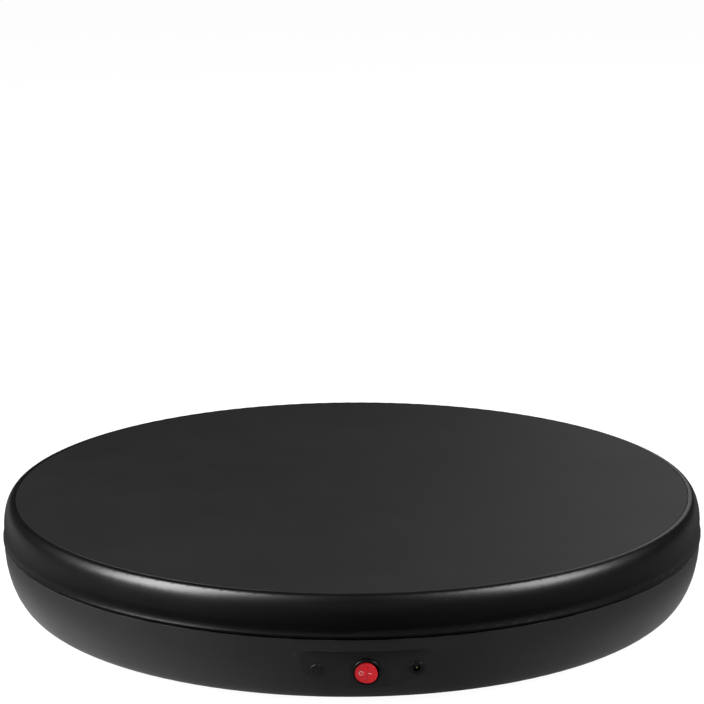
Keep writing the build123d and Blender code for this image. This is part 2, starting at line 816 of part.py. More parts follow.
def connector_places():
    """Switch, jack, receiver and motor connectors, by their middle."""
    motor_connector_y = board_centre_y + board_size[1] / 2 - connector_size[1] / 2 - 1.0
    return {
        "switch": (0.0, connector_y),
        "jack": (26.0, connector_y),
        "receiver": (-26.0, connector_y),
        "motor": (30.0, motor_connector_y),
    }


def board_connectors():
    bodies = []
    for x, y in connector_places().values():
        bodies.append(Pos(x, y, board_top) * Box(*connector_size, align=BOTTOM))
    return group(bodies)


# ---- panel pieces ----
def switch_body():
    barrel = post(switch_hole_radius - bore_clearance, -switch_body_depth, 0)
    bezel = post(switch_bezel_radius, 0, switch_bezel_height)
    bezel = fillet(bezel.edges().group_by(Axis.Z)[-1], 1.2)
    body = barrel + bezel
    body -= post(switch_well_radius, switch_step_height, switch_bezel_height + 1)
    body -= post(switch_bore_radius, switch_back_wall - switch_body_depth, switch_bezel_height)
    pin_hole = Pos(0, 0, -rocker_pivot_depth) * Rot(90, 0, 0)
    body -= pin_hole * Cylinder(rocker_pin_radius + bore_clearance, 2 * (switch_hole_radius - 0.2))
    width, thickness, _ = terminal_size
    for side in (-terminal_offset, terminal_offset):
        body -= Pos(side, 0, -switch_body_depth) * Box(thickness, width, 2 * switch_back_wall + 1)
    return switch_frame * body


def switch_rocker():
    """Dished round rocker; it lies tipped to one side at rest."""
    top = switch_bezel_height
    reach = rocker_radius + 1
    edge_top = top + reach * tan(radians(rocker_tilt))
    edge_low = edge_top - rocker_edge
    low = top - rocker_middle
    flat = rocker_drum_radius + 0.5
    outline = Polyline(
        (0, 0, top), (reach, 0, edge_top), (reach, 0, edge_low), (flat, 0, low),
        (-flat, 0, low), (-reach, 0, edge_low), (-reach, 0, edge_top), close=True,
    )
    cap = extrude(make_face(outline), switch_well_radius, both=True)
    cap = cap & post(rocker_radius, -10, 10)
    pivot = Pos(0, 0, -rocker_pivot_depth) * Rot(90, 0, 0)
    drum = pivot * Cylinder(rocker_drum_radius, rocker_drum_width)
    pin = pivot * Cylinder(rocker_pin_radius, 2 * (switch_hole_radius - 0.3))
    body = cap + drum + pin
    tipped = Pos(0, 0, -rocker_pivot_depth) * Rot(0, -rocker_tilt, 0) * Pos(0, 0, rocker_pivot_depth)
    return switch_frame * tipped * body


def switch_terminals():
    width, thickness, length = terminal_size
    blade_top = switch_back_wall - switch_body_depth
    blades = []
    for side in (-terminal_offset, terminal_offset):
        blade = Pos(side, 0, blade_top - length - switch_back_wall)
        blade *= Box(thickness - 0.1, width - 0.1, length + switch_back_wall, align=BOTTOM)
        blades.append(switch_frame * blade)
    return group(blades)


def dc_jack_body():
    body = post(jack_hole_radius - bore_clearance, -jack_body_depth, 0)
    flange = post(jack_flange_radius, 0, jack_flange_height)
    flange = fillet(flange.edges().group_by(Axis.Z)[-1], 0.5)
    body += flange
    body -= post(jack_bore_radius, jack_flange_height - jack_bore_depth, jack_flange_height + 1)
    body -= post(jack_pin_radius, -jack_body_depth - 1, jack_flange_height)
    return jack_frame * body


def dc_jack_pin():
    tip = post(jack_pin_radius, -jack_body_depth - 2, jack_flange_height - 1.5)
    tip = fillet(tip.edges().group_by(Axis.Z)[-1], 0.5)
    return jack_frame * tip


def dc_jack_nut():
    outline = RegularPolygon(jack_nut_radius, 6)
    nut = extrude(Pos(0, 0, -panel_wall - jack_nut_height) * outline, jack_nut_height)
    nut -= post(jack_hole_radius, -20, 0)
    return jack_frame * nut


def ir_window():
    dome = post(window_radius, 0, window_dome)
    dome = fillet(dome.edges().group_by(Axis.Z)[-1], window_dome * 0.8)
    barrel = post(window_hole_radius - bore_clearance, -window_barrel_depth, 0)
    barrel -= post(window_hole_radius - 1.0, -window_barrel_depth - 1, -0.5)
    return window_frame * (dome + barrel)


def ir_receiver():
    """Receiver package standing behind the window, with its round lens in the window's barrel."""
    width, height, depth = receiver_size
    back = -window_barrel_depth - running_gap
    body = Pos(0, 0, back - depth) * Box(width, height, depth, align=BOTTOM)
    lens = Pos(0, 0, back) * Cylinder(window_hole_radius - 1.4, window_barrel_depth - 1.2, align=BOTTOM)
    return window_frame * (body + lens)


# ---- wiring ----
def inside_panel(frame, x, depth):
    """World point behind the panel."""
    point = frame.from_local_coords(Vector(x, 0, -depth))
    return point.X, point.Y, point.Z


def panel_leads(frame, offsets, depth, connector):
    """Leads that run from the back of a panel piece up and over into their connector."""
    end_x, end_y = connector_places()[connector]
    top = board_top + connector_size[2]
    leads = []
    for i, offset in enumerate(offsets):
        start = inside_panel(frame, offset, depth)
        bend = inside_panel(frame, offset, depth + 7)
        spread = (i - (len(offsets) - 1) / 2) * 2.6
        over = (end_x + spread, end_y - 5, top + 10)
        points = [start, bend, over, (end_x + spread, end_y, top + 4), (end_x + spread, end_y, top)]
        leads.append(lead(points, lead_radius))
    return group(leads)


def switch_leads():
    depth = switch_body_depth + terminal_size[2]
    return panel_leads(switch_frame, (-terminal_offset, terminal_offset), depth, "switch")


def jack_leads():
    return panel_leads(jack_frame, (-2.6, 2.6), jack_body_depth, "jack")


def ir_leads():
    depth = window_barrel_depth + running_gap + receiver_size[2]
    return panel_leads(window_frame, (-2.2, 0.0, 2.2), depth, "receiver")


def motor_leads():
    """Cable from the motor's side round the tower to the board, resting on the floor."""
    end_x, end_y = connector_places()["motor"]
    top = board_top + connector_size[2]
    rest = floor_top + cable_radius + running_gap
    side = motor_width / 2
    start_z = motor_bottom + 8
    route = tower_foot_radius + 16
    points = [(side, motor_y, start_z), (side + 14, motor_y, start_z), (side + 30, motor_y - 14, rest)]
    for angle in (46, 28, 8, -12, -32, -50):
        points.append((route * cos(radians(angle)), route * sin(radians(angle)), rest))
    points += [
        (end_x + 20, end_y + 64, rest), (end_x + 2, end_y + 36, rest), (end_x, end_y + 18, rest + 8),
        (end_x, end_y + 6, top + 9), (end_x, end_y, top + 6), (end_x, end_y, top),
    ]
    return lead(points, cable_radius)


def write(name, shape):
    export_step(shape, f"parts/{name}.step")


def main():
    os.makedirs("parts", exist_ok=True)
    makers = (
        base_shell, rubber_feet, bearing_tower, tower_screws,
        bearing_lower_ring, bearing_lower_screws, bearing_upper_ring, bearing_upper_screws,
        ball_cage, bearing_balls,
        platter_shell, platter_mat, roller_track, track_screws, ring_gear, ring_gear_screws,
        idler_gear, idler_axle, idler_clip, motor_pinion, motor_bracket, motor_bracket_screws,
        motor_mount_screws, motor_flange, motor_can, motor_shaft, rotor_magnet,
        roller_brackets, roller_axles, roller_bracket_screws,
        control_board, board_screws, board_chips, board_capacitors, board_connectors,
        switch_body, switch_rocker, switch_terminals, dc_jack_body, dc_jack_pin, dc_jack_nut,
        ir_window, ir_receiver, switch_leads, jack_leads, ir_leads, motor_leads,
    )
    for maker in makers:
        write(maker.__name__, maker())
    for number, place in enumerate(roller_places(), start=1):
        seat = place * Pos(0, 0, roller_level)
        write(f"roller_{number}", seat * roller_hub())
        write(f"roller_tyre_{number}", seat * roller_tyre())


main()
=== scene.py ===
"""Looks of a round motor-driven display stand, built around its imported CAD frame.

The shells, gears, bearing and drive come from the frame and get their finishes here. The
switch rocker and the marks on it are modelled here in full. Everything is in metres, +Z up,
with the control panel facing -Y.
"""

import json
import logging
import math
from collections.abc import Callable, Iterable
from dataclasses import dataclass
from enum import Enum

import bmesh
import bpy
from mathutils import Matrix, Vector


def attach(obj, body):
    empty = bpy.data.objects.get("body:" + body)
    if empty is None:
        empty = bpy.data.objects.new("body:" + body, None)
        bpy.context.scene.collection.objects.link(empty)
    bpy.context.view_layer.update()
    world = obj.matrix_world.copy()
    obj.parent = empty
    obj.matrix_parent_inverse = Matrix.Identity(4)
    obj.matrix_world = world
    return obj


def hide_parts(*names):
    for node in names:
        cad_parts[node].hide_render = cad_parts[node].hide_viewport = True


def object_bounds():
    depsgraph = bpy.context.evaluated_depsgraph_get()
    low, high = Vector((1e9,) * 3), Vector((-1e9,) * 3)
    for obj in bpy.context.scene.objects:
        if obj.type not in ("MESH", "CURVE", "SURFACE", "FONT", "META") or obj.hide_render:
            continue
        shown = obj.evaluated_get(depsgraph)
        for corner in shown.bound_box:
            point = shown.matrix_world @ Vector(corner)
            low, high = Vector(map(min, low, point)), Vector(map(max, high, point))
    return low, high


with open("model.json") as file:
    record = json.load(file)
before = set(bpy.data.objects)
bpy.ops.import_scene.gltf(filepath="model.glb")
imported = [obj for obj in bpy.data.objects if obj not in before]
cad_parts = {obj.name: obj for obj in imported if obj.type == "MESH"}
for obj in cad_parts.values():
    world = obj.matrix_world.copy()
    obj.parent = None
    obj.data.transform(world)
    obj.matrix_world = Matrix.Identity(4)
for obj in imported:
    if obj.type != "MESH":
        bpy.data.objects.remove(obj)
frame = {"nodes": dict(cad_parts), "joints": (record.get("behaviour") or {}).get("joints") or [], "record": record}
CAD_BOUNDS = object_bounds()

MM = 0.001
SMOOTHEST = 0.02          # no finish is glossier than this roughness
DUST_COLOR = (0.32, 0.31, 0.29)
DUST_ROUGHENING = 0.5     # roughness that full dust adds
WHITE = (1.0, 1.0, 1.0, 1.0)

Color = tuple[float, float, float]
Point = tuple[float, float, float]
Range = tuple[float, float]
Ring = list[bmesh.types.BMVert]

log = logging.getLogger("display_stand")


class Effect(Enum):
    """Shader groups that several finishes share, named as in the file."""

    MOULDED_GRAIN = "moulded_grain"
    TURNED_LINES = "turned_lines"
    BRUSHED_LINES = "brushed_lines"
    EDGE_WEAR_AND_HIGHLIGHT = "edge_wear"
    DUST_FILM = "dust_film"


class NodeSheet:
    """Adds and wires the nodes of one shader tree."""

    def __init__(self, tree: bpy.types.NodeTree) -> None:
        """Start with an empty tree.

        Args:
            tree: the tree to fill.
        """
        self.tree = tree
        tree.nodes.clear()

    def feed(self, node: bpy.types.Node, inputs: dict) -> None:
        """Give a node its inputs.

        Args:
            node: the node.
            inputs: socket name or number to a plain value or to another node's output.
        """
        for key, value in inputs.items():
            if isinstance(value, bpy.types.NodeSocket):
                self.tree.links.new(value, node.inputs[key])
            else:
                node.inputs[key].default_value = value

    def add(self, kind: str, inputs: dict | None = None, **settings: object) -> bpy.types.Node:
        """Add one node.

        Args:
            kind: the node's type name without its "ShaderNode" prefix.
            inputs: as for feed.
            settings: attributes of the node.

        Returns:
            The new node.
        """
        name = kind if kind.startswith("NodeGroup") else f"ShaderNode{kind}"
        node = self.tree.nodes.new(name)
        for key, value in settings.items():
            setattr(node, key, value)
        self.feed(node, inputs or {})
        return node

    def math(
        self, operation: str, first: object, second: object = 0.0, third: object = 0.0
    ) -> bpy.types.NodeSocket:
        """Add a Math node.

        Args:
            operation: its operation.
            first: value or socket.
            second: value or socket.
            third: value or socket, for the operations that take three.

        Returns:
            The result socket.
        """
        return self.add("Math", {0: first, 1: second, 2: third}, operation=operation).outputs[0]

    def remap(
        self, value: object, source: Range = (0.0, 1.0), target: Range = (0.0, 1.0)
    ) -> bpy.types.NodeSocket:
        """Map a value from one range to another, held at its ends.

        Args:
            value: the value's socket.
            source: the range that it has; the first number may be the larger.
            target: the range that it gets.

        Returns:
            The result socket.
        """
        inputs = {
            "Value": value,
            "From Min": source[0],
            "From Max": source[1],
            "To Min": target[0],
            "To Max": target[1],
        }
        return self.add("MapRange", inputs).outputs["Result"]

    def noise(
        self, place: object, scale: object, detail: float, roughness: float = 0.5
    ) -> bpy.types.NodeSocket:
        """Add a noise texture.

        Args:
            place: where it is read, a socket.
            scale: features per metre, a value or a socket.
            detail: number of finer layers.
            roughness: strength of the finer layers.

        Returns:
            The socket of its value.
        """
        inputs = {"Vector": place, "Scale": scale, "Detail": detail, "Roughness": roughness}
        return self.add("TexNoise", inputs).outputs[0]

    def surface_point(self) -> bpy.types.NodeSocket:
        """Give the socket of the shaded point in the piece's own space."""
        return self.add("TexCoord").outputs["Object"]

    def mix_color(self, mask: object, first: object, second: object) -> bpy.types.NodeSocket:
        """Mix two colours by a mask.

        Args:
            mask: the mask's socket.
            first: colour at 0, a tuple or a socket.
            second: colour at 1, a tuple or a socket.

        Returns:
            The mixed colour socket.
        """
        inputs = {0: mask, 6: first, 7: second}
        for key in (6, 7):
            if isinstance(inputs[key], tuple):
                inputs[key] = (*inputs[key], 1.0)
        return self.add("Mix", inputs, data_type="RGBA").outputs[2]

    def mix_shader(self, mask: object, first: object, second: object) -> bpy.types.NodeSocket:
        """Mix two shaders by a mask.

        Args:
            mask: the mask's socket.
            first: shader socket at 0.
            second: shader socket at 1.

        Returns:
            The mixed shader socket.
        """
        return self.add("MixShader", {0: mask, 1: first, 2: second}).outputs[0]


class EffectLibrary:
    """Builds each shared shader group once and places it in materials."""

    def __init__(self) -> None:
        """Name the maker of each group."""
        self.makers: dict[Effect, Callable[[], bpy.types.NodeTree]] = {
            Effect.MOULDED_GRAIN: self._moulded_grain,
            Effect.TURNED_LINES: self._turned_lines,
            Effect.BRUSHED_LINES: self._brushed_lines,
            Effect.EDGE_WEAR_AND_HIGHLIGHT: self._edge_wear_and_highlight,
            Effect.DUST_FILM: self._dust_film,
        }
        self.made: dict[Effect, bpy.types.NodeTree] = {}

    def place(self, sheet: NodeSheet, effect: Effect, inputs: dict | None = None) -> bpy.types.Node:
        """Place a group in a material.

        Args:
            sheet: the material's node sheet.
            effect: which group.
            inputs: its own input values; the rest keep their defaults.

        Returns:
            The group node.
        """
        if effect not in self.made:
            self.made[effect] = self.makers[effect]()
        return sheet.add("Group", inputs, node_tree=self.made[effect])

    def mask(self, sheet: NodeSheet, effect: Effect, strength: float) -> bpy.types.NodeSocket:
        """Place a mask group and weaken its mask.

        Args:
            sheet: the material's node sheet.
            effect: which group.
            strength: the mask's value where it was 1.

        Returns:
            The mask's socket.
        """
        return sheet.math("MULTIPLY", self.place(sheet, effect).outputs["Mask"], strength)

    @staticmethod
    def _group(
        effect: Effect, inputs: dict[str, object], outputs: Iterable[str]
    ) -> tuple[NodeSheet, bpy.types.NodeOutputs]:
        """Start a group with its sockets.

        Args:
            effect: gives the group's name.
            inputs: input names and default values.
            outputs: names of its mask and height outputs.

        Returns:
            The group's sheet, and the sockets that carry its inputs.
        """
        tree = bpy.data.node_groups.new(effect.value, "ShaderNodeTree")
        for name, value in inputs.items():
            kind = "NodeSocketVector" if isinstance(value, tuple) else "NodeSocketFloat"
            socket = tree.interface.new_socket(name=name, in_out="INPUT", socket_type=kind)
            socket.default_value = value
        for name in outputs:
            tree.interface.new_socket(name=name, in_out="OUTPUT", socket_type="NodeSocketFloat")
        sheet = NodeSheet(tree)
        return sheet, sheet.add("NodeGroupInput").outputs

    def _moulded_grain(self) -> bpy.types.NodeTree:
        """Make the fine pebbled relief of a moulding, with slow patches of tone.

        Returns:
            The group.
        """
        sheet, given = self._group(
            Effect.MOULDED_GRAIN, {"Scale": 1200.0, "Patch Scale": 9.0}, ("Height", "Patch")
        )
        place = sheet.surface_point()
        pebbles = sheet.add(
            "TexVoronoi", {"Vector": place, "Scale": given["Scale"]}, feature="SMOOTH_F1"
        )
        grain = sheet.noise(place, given["Scale"], 3.0)
        height = sheet.math("MULTIPLY_ADD", pebbles.outputs["Distance"], 0.7, grain)
        patch = sheet.remap(sheet.noise(place, given["Patch Scale"], 5.0, 0.6), (0.3, 0.7))
        sheet.add("NodeGroupOutput", {"Height": height, "Patch": patch})
        return sheet.tree

    def _turned_lines(self) -> bpy.types.NodeTree:
        """Make concentric tool marks about an upright axis through Centre.

        Returns:
            The group.
        """
        sheet, given = self._group(
            Effect.TURNED_LINES, {"Pitch": 900.0, "Centre": (0.0, 0.0, 0.0)}, ("Height", "Patch")
        )
        place = sheet.surface_point()
        moved = sheet.add("VectorMath", {0: place, 1: given["Centre"]}, operation="SUBTRACT")
        parts = sheet.add("SeparateXYZ", {0: moved.outputs[0]}).outputs
        flat = sheet.add("CombineXYZ", {"X": parts["X"], "Y": parts["Y"]})
        radius = sheet.add("VectorMath", {0: flat.outputs[0]}, operation="LENGTH").outputs["Value"]
        along = sheet.math("ADD", radius, parts["Z"])
        lines = sheet.add(
            "TexNoise", {"W": along, "Scale": given["Pitch"], "Detail": 4.0}, noise_dimensions="1D"
        )
        patch = sheet.noise(place, 30.0, 3.0)
        sheet.add("NodeGroupOutput", {"Height": lines.outputs[0], "Patch": patch})
        return sheet.tree

    def _brushed_lines(self) -> bpy.types.NodeTree:
        """Make long fine strokes along X, as on plated sheet.

        Returns:
            The group.
        """
        sheet, given = self._group(Effect.BRUSHED_LINES, {"Scale": 700.0}, ("Height", "Patch"))
        place = sheet.surface_point()
        drawn = sheet.add("VectorMath", {0: place, 1: (0.03, 1.0, 1.0)}, operation="MULTIPLY")
        strokes = sheet.noise(drawn.outputs[0], given["Scale"], 5.0)
        patch = sheet.noise(place, 40.0, 3.0)
        sheet.add("NodeGroupOutput", {"Height": strokes, "Patch": patch})
        return sheet.tree

    def _edge_wear_and_highlight(self) -> bpy.types.NodeTree:
        """Make a mask of the edges, broken up by noise, for worn edges and for painted edge highlights.

        Returns:
            The group.
        """
        sheet, given = self._group(
            Effect.EDGE_WEAR_AND_HIGHLIGHT, {"Radius": 0.0006, "Break Up": 60.0}, ("Mask",)
        )
        rounded = sheet.add("Bevel", {"Radius": given["Radius"]}, samples=4).outputs[0]
        true = sheet.add("NewGeometry").outputs["Normal"]
        along = sheet.add("VectorMath", {0: rounded, 1: true}, operation="DOT_PRODUCT")
        edge = sheet.remap(along.outputs["Value"], (0.998, 0.93))
        noise = sheet.noise(sheet.surface_point(), given["Break Up"], 6.0)
        broken = sheet.remap(noise, (0.42, 0.62))
        sheet.add("NodeGroupOutput", {"Mask": sheet.math("MULTIPLY", edge, broken)})
        return sheet.tree

    def _dust_film(self) -> bpy.types.NodeTree:
        """Make a mask of thin dust and specks on faces that look up.

        Returns:
            The group.
        """
        sheet, given = self._group(
            Effect.DUST_FILM, {"Scale": 24.0, "Speck Scale": 420.0}, ("Mask",)
        )
        place = sheet.surface_point()
        normal = sheet.add("NewGeometry").outputs["Normal"]
        up = sheet.remap(sheet.add("SeparateXYZ", {0: normal}).outputs["Z"], (0.2, 0.95))
        film = sheet.noise(place, given["Scale"], 6.0)
        haze = sheet.math("MULTIPLY", sheet.remap(film, (0.42, 0.75)), 0.35)
        cells = sheet.add("TexVoronoi", {"Vector": place, "Scale": given["Speck Scale"]})
        dots = sheet.remap(cells.outputs["Distance"], (0.09, 0.03))
        specks = sheet.math("MULTIPLY", dots, sheet.math("GREATER_THAN", film, 0.56))
        both = sheet.math("MAXIMUM", haze, specks)
        sheet.add("NodeGroupOutput", {"Mask": sheet.math("MULTIPLY", both, up)})
        return sheet.tree


@dataclass(frozen=True)
class Finish:
    """How one kind of surface looks.

    Attributes:
        color: linear base colour.
        roughness: mean roughness.
        metallic: 1 for bare metal.
        specular: strength of the plain reflection.
        coat: weight of a clear top layer.
        coat_roughness: roughness of that layer.
        texture: fine relief, one of the relief groups.
        texture_scale: features of the relief per metre.
        relief: height of the relief in metres.
        tone_spread: how far the colour wanders, as a share of it.
        gloss_spread: how far the roughness wanders either way.
        wear_and_highlight: how strongly worn edges show; on the shell and the red cap this is also a painted
            highlight along the edges.
        wear_and_highlight_color: colour of a worn edge, and of the painted edge highlight where there is one.
        dust: how strongly dust shows on upward faces.
        centre: point on the upright axis of turned lines, in metres.
    """

    color: Color
    roughness: float
    metallic: float = 0.0
    specular: float = 0.5
    coat: float = 0.0
    coat_roughness: float = 0.1
    texture: Effect = Effect.MOULDED_GRAIN
    texture_scale: float = 1200.0
    relief: float = 1.5e-5
    tone_spread: float = 0.15
    gloss_spread: float = 0.05
    wear_and_highlight: float = 0.0
    wear_and_highlight_color: Color = (0.12, 0.12, 0.12)
    dust: float = 0.0
    centre: Point = (0.0, 0.0, 0.0)

    def relief_group(self, sheet: NodeSheet, effects: EffectLibrary) -> bpy.types.NodeOutputs:
        """Place the relief group that the texture names.

        Args:
            sheet: the material's node sheet.
            effects: the shared groups.

        Returns:
            Its Height and Patch sockets.
        """
        inputs = {"Scale": self.texture_scale}
        if self.texture is Effect.TURNED_LINES:
            inputs = {"Pitch": self.texture_scale, "Centre": self.centre}
        return effects.place(sheet, self.texture, inputs).outputs

    def material(self, name: str, effects: EffectLibrary) -> bpy.types.Material:
        """Build the finish as a material.

        Args:
            name: the material's name.
            effects: the shared groups.

        Returns:
            The material.
        """
        made = bpy.data.materials.new(name)
        made.use_nodes = True
        sheet = NodeSheet(made.node_tree)
        relief = self.relief_group(sheet, effects)
        dark = tuple(c * (1 - self.tone_spread) for c in self.color)
        light = tuple(c * (1 + self.tone_spread) for c in self.color)
        color = sheet.mix_color(relief["Patch"], dark, light)
        low = max(SMOOTHEST, self.roughness - self.gloss_spread)
        high = min(1.0, self.roughness + self.gloss_spread)
        rough = sheet.remap(relief["Patch"], target=(low, high))
        # Worn edges lighten the colour; on the shell and the red cap this edge colour is also a painted highlight.
        if self.wear_and_highlight:
            rubbed_and_lit_edges = effects.mask(sheet, Effect.EDGE_WEAR_AND_HIGHLIGHT, self.wear_and_highlight)
            color = sheet.mix_color(rubbed_and_lit_edges, color, self.wear_and_highlight_color)
        if self.dust:
            film = effects.mask(sheet, Effect.DUST_FILM, self.dust)
            color = sheet.mix_color(film, color, DUST_COLOR)
            rough = sheet.math("MULTIPLY_ADD", film, DUST_ROUGHENING, rough)
        bump = sheet.add(
            "Bump", {"Height": relief["Height"], "Strength": 1.0, "Distance": self.relief}
        )
        shader = sheet.add(
            "BsdfPrincipled",
            {
                "Base Color": color,
                "Roughness": rough,
                "Metallic": self.metallic,
                "Specular IOR Level": self.specular,
                "Coat Weight": self.coat,
                "Coat Roughness": self.coat_roughness,
                "Normal": bump.outputs[0],
            },
        )
        sheet.add("OutputMaterial", {"Surface": shader.outputs[0]})
        return made


@dataclass(frozen=True)
class PrintFinish:
    """Pale pad print, slightly worn through.

    Attributes:
        color: of the ink.
        ground: of the plastic under it.
        roughness: of the ink.
        gloss_spread: how far the roughness wanders either way.
        grain_scale: features of the ink's grain per metre.
        patch_scale: worn patches per metre.
        sparseness: a larger number wears less of the ink through.
    """

    color: Color = (0.46, 0.20, 0.20)
    ground: Color = (0.5, 0.03, 0.03)
    roughness: float = 0.45
    gloss_spread: float = 0.08
    grain_scale: float = 3000.0
    patch_scale: float = 900.0
    sparseness: float = 3.0

    def material(self, name: str, effects: EffectLibrary) -> bpy.types.Material:
        """Build the print as a material.

        Args:
            name: the material's name.
            effects: the shared groups.

        Returns:
            The material.
        """
        made = bpy.data.materials.new(name)
        made.use_nodes = True
        sheet = NodeSheet(made.node_tree)
        scales = {"Scale": self.grain_scale, "Patch Scale": self.patch_scale}
        patch = effects.place(sheet, Effect.MOULDED_GRAIN, scales).outputs["Patch"]
        worn = sheet.math("POWER", patch, self.sparseness)
        color = sheet.mix_color(worn, self.color, self.ground)
        ends = (self.roughness - self.gloss_spread, self.roughness + self.gloss_spread)
        rough = sheet.remap(patch, target=ends)
        shader = sheet.add("BsdfPrincipled", {"Base Color": color, "Roughness": rough})
        sheet.add("OutputMaterial", {"Surface": shader.outputs[0]})
        return made


FINISHES: dict[str, Finish] = {
    # The shell's pale edge colour is partly wear and partly a painted highlight along edges such as the ledge over
    # the control panel.
    "satin_black_shell": Finish(
        (0.0070, 0.0070, 0.0074), 0.5, specular=0.37, texture_scale=1500.0, relief=1.2e-5,
        tone_spread=0.08, wear_and_highlight=0.5, wear_and_highlight_color=(0.09, 0.09, 0.09), dust=0.03,
    ),
    "gloss_black_rim": Finish(
        (0.0006, 0.0006, 0.0007), 0.33, specular=0.3, texture_scale=2600.0, relief=3e-6,
        gloss_spread=0.025, wear_and_highlight=0.25, wear_and_highlight_color=(0.02, 0.02, 0.02), dust=0.01,
    ),
    "matte_black_mat": Finish(
        (0.0036, 0.0036, 0.0038), 0.5, specular=0.3, texture_scale=1800.0, relief=8e-6,
        tone_spread=0.03, gloss_spread=0.02, dust=0.006,
    ),
    "black_rubber": Finish(
        (0.018, 0.018, 0.018), 0.75, specular=0.3, texture_scale=2500.0, relief=2e-5, wear_and_highlight=0.5,
        wear_and_highlight_color=(0.07, 0.07, 0.07),
    ),
    "grey_nylon": Finish((0.028, 0.028, 0.03), 0.5, texture_scale=1400.0, relief=2e-5),
    "bearing_steel": Finish(
        (0.55, 0.55, 0.56), 0.24, metallic=1.0, texture=Effect.TURNED_LINES, texture_scale=1400.0,
        relief=4e-6, tone_spread=0.06, gloss_spread=0.06,
    ),
    "natural_nylon": Finish((0.62, 0.58, 0.48), 0.45, texture_scale=900.0, relief=1e-5),
    "white_acetal": Finish(
        (0.72, 0.71, 0.67), 0.38, texture_scale=900.0, relief=8e-6, tone_spread=0.04,
    ),
    "brass_gear": Finish(
        (0.62, 0.43, 0.16), 0.3, metallic=1.0, texture=Effect.TURNED_LINES, texture_scale=1800.0,
        relief=5e-6, centre=(0.0, 0.13, 0.0),
    ),
    "axle_steel": Finish(
        (0.5, 0.5, 0.51), 0.28, metallic=1.0, texture=Effect.TURNED_LINES, texture_scale=2000.0,
        relief=4e-6,
    ),
    "magnet_dark": Finish(
        (0.06, 0.06, 0.065), 0.4, metallic=0.9, texture=Effect.TURNED_LINES, texture_scale=1500.0,
        relief=6e-6, centre=(0.0, 0.13, 0.0),
    ),
    "zinc_steel": Finish(
        (0.6, 0.61, 0.6), 0.33, metallic=1.0, texture=Effect.BRUSHED_LINES, relief=5e-6,
        tone_spread=0.1, gloss_spread=0.08,
    ),
    "cast_aluminium": Finish(
        (0.6, 0.6, 0.61), 0.42, metallic=1.0, texture_scale=1500.0, relief=2.5e-5,
    ),
    "painted_can": Finish(
        (0.012, 0.012, 0.013), 0.35, texture_scale=1200.0, relief=1e-5, wear_and_highlight=0.6,
        wear_and_highlight_color=(0.25, 0.25, 0.26),
    ),
    "board_green": Finish((0.012, 0.11, 0.04), 0.3, coat=0.4, texture_scale=500.0, relief=1.2e-5),
    "chip_black": Finish((0.02, 0.02, 0.021), 0.48, texture_scale=2500.0, relief=8e-6),
    "capacitor_sleeve": Finish((0.02, 0.03, 0.09), 0.3, texture_scale=900.0, relief=5e-6),
    "connector_white": Finish((0.74, 0.72, 0.65), 0.42, texture_scale=1500.0, relief=8e-6),
    "switch_black": Finish(
        (0.0035, 0.0035, 0.0038), 0.34, specular=0.25, texture_scale=3000.0, relief=4e-6, wear_and_highlight=0.3,
        wear_and_highlight_color=(0.03, 0.03, 0.03),
    ),
    # The cap's bright red edge colour is partly wear and partly a painted highlight along its rim.
    "switch_red": Finish(
        (0.37, 0.003, 0.008), 0.3, specular=0.25, coat=0.2, coat_roughness=0.12,
        texture_scale=2200.0, relief=3e-6, tone_spread=0.08, wear_and_highlight=0.3, wear_and_highlight_color=(0.9, 0.07, 0.06),
    ),
    "brass_terminal": Finish(
        (0.68, 0.56, 0.3), 0.28, metallic=1.0, texture=Effect.BRUSHED_LINES, relief=4e-6,
    ),
    "window_dark": Finish(
        (0.006, 0.0055, 0.0058), 0.42, specular=0.3, texture_scale=800.0, relief=2e-6,
        gloss_spread=0.02,
    ),
    "lead_red": Finish((0.42, 0.02, 0.02), 0.42, texture_scale=700.0, relief=6e-6),
    "lead_black": Finish((0.015, 0.015, 0.015), 0.42, texture_scale=700.0, relief=6e-6),
    "lead_grey": Finish((0.2, 0.2, 0.21), 0.42, texture_scale=700.0, relief=6e-6),
    "screw_zinc": Finish(
        (0.55, 0.56, 0.55), 0.3, metallic=1.0, texture=Effect.BRUSHED_LINES, relief=5e-6, wear_and_highlight=0.4,
        wear_and_highlight_color=(0.8, 0.8, 0.8),
    ),
    "tyre_rubber": Finish((0.05, 0.05, 0.05), 0.8, specular=0.3, texture_scale=1800.0, relief=3e-5),
}


class FinishShelf:
    """Makes each finish's material once and dresses pieces with it."""

    def __init__(self, effects: EffectLibrary) -> None:
        """Start with no materials made.

        Args:
            effects: the shared groups.
        """
        self.effects = effects
        self.made: dict[str, bpy.types.Material] = {}

    def material(self, slot: str) -> bpy.types.Material:
        """Give the material of a slot, made on first use.

        Args:
            slot: a key of FINISHES.

        Returns:
            The material.
        """
        if slot not in self.made:
            self.made[slot] = FINISHES[slot].material(slot, self.effects)
        return self.made[slot]

    def dress(self, piece: bpy.types.Object, slot: str) -> None:
        """Put one finish all over a piece.

        Args:
            piece: the piece.
            slot: a key of FINISHES.
        """
        piece.data.materials.clear()
        piece.data.materials.append(self.material(slot))


